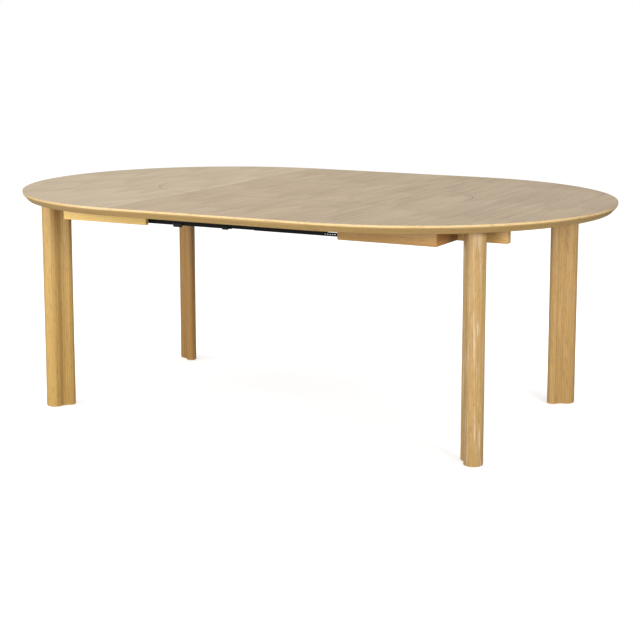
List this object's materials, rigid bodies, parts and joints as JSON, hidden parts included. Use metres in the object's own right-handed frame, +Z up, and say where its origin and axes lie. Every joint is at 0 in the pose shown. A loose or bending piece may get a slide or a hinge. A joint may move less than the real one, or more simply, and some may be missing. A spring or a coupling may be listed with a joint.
{
  "type": "extendable dining table",
  "caption": "Extendable oak dining table: half-round ends on lobed legs part along black telescopic slides for a straight leaf, with an inlaid line in the top.",
  "frame": {"origin": "on the floor under the middle of the leaf, with the table fully extended", "axes": "+X along the table's long side, -Y is the front, +Z up"},
  "size_m": [2.1006, 1.4, 0.75],
  "materials": {
    "top_veneer": "satin open-grained oak veneer, pale grey-beige",
    "solid_oak": "satin oiled oak, honey yellow",
    "frame_wood": "planed hardwood, unfinished",
    "board_core": "particle board core with veneered underside",
    "inlay_line": "dark veneer line",
    "pin_wood": "beech dowel",
    "black_steel": "black powder coat",
    "zinc_steel": "zinc plated",
    "glide_plastic": "dark nylon",
    "clip_plastic": "black nylon"
  },
  "bodies": {
    "left_half": {"apron_back_left": "solid_oak", "apron_front_left": "solid_oak", "bearer_back_left": "solid_oak", "bearer_front_left": "solid_oak", "core_left": "board_core", "cross_tie_left": "frame_wood", "end_board_back_left": "solid_oak", "end_board_front_left": "solid_oak", "glide_back_left": "glide_plastic", "glide_front_left": "glide_plastic", "inlay_left": "inlay_line", "leg_back_left": "solid_oak", "leg_front_left": "solid_oak", "leg_plates_left": "black_steel", "leg_studs_left": "zinc_steel", "lipping_left": "solid_oak", "seam_pins_left": "pin_wood", "slide_clips": "clip_plastic", "slide_outer_back": "black_steel", "slide_outer_front": "black_steel", "slide_strip_back": "frame_wood", "slide_strip_front": "frame_wood", "strip_screws": "zinc_steel", "veneer_left": "top_veneer"},
    "right_half": {"apron_back_right": "solid_oak", "apron_front_right": "solid_oak", "bearer_back_right": "solid_oak", "bearer_front_right": "solid_oak", "carrier_screws": "zinc_steel", "core_right": "board_core", "cross_tie_right": "frame_wood", "end_board_back_right": "solid_oak", "end_board_front_right": "solid_oak", "glide_back_right": "glide_plastic", "glide_front_right": "glide_plastic", "inlay_right": "inlay_line", "leg_back_right": "solid_oak", "leg_front_right": "solid_oak", "leg_plates_right": "black_steel", "leg_studs_right": "zinc_steel", "lipping_right": "solid_oak", "slide_block_back": "frame_wood", "slide_block_front": "frame_wood", "slide_carrier_back": "black_steel", "slide_carrier_front": "black_steel", "slide_inner_back": "black_steel", "slide_inner_front": "black_steel", "veneer_right": "top_veneer"},
    "slide_middle_front": {"slide_middle_front": "black_steel", "slide_runner_front": "clip_plastic"},
    "slide_middle_back": {"slide_middle_back": "black_steel", "slide_runner_back": "clip_plastic"},
    "leaf": {"core_leaf": "board_core", "inlay_leaf": "inlay_line", "leaf_batten_left": "frame_wood", "leaf_batten_right": "frame_wood", "lipping_leaf_back": "solid_oak", "lipping_leaf_front": "solid_oak", "seam_pins_leaf": "pin_wood", "veneer_leaf": "top_veneer"}
  },
  "joints": [
    {"name": "right_half_slide", "type": "slide", "parent": "left_half", "child": "right_half", "axis": [-1, 0, 0], "range_m": [0, 0.7]},
    {"name": "middle_front_slide", "type": "slide", "parent": "left_half", "child": "slide_middle_front", "axis": [-1, 0, 0], "range_m": [0, 0.35]},
    {"name": "middle_back_slide", "type": "slide", "parent": "left_half", "child": "slide_middle_back", "axis": [-1, 0, 0], "range_m": [0, 0.35]},
    {"name": "leaf_lift", "type": "slide", "parent": "slide_middle_front", "child": "leaf", "axis": [0, 0, 1], "range_m": [0, 0.7]}
  ],
  "couplings": [
    {"joint": "middle_front_slide", "follows": "right_half_slide", "ratio": 0.5},
    {"joint": "middle_back_slide", "follows": "right_half_slide", "ratio": 0.5},
    {"joint": "leaf_lift", "follows": "right_half_slide", "ratio": 1}
  ]
}
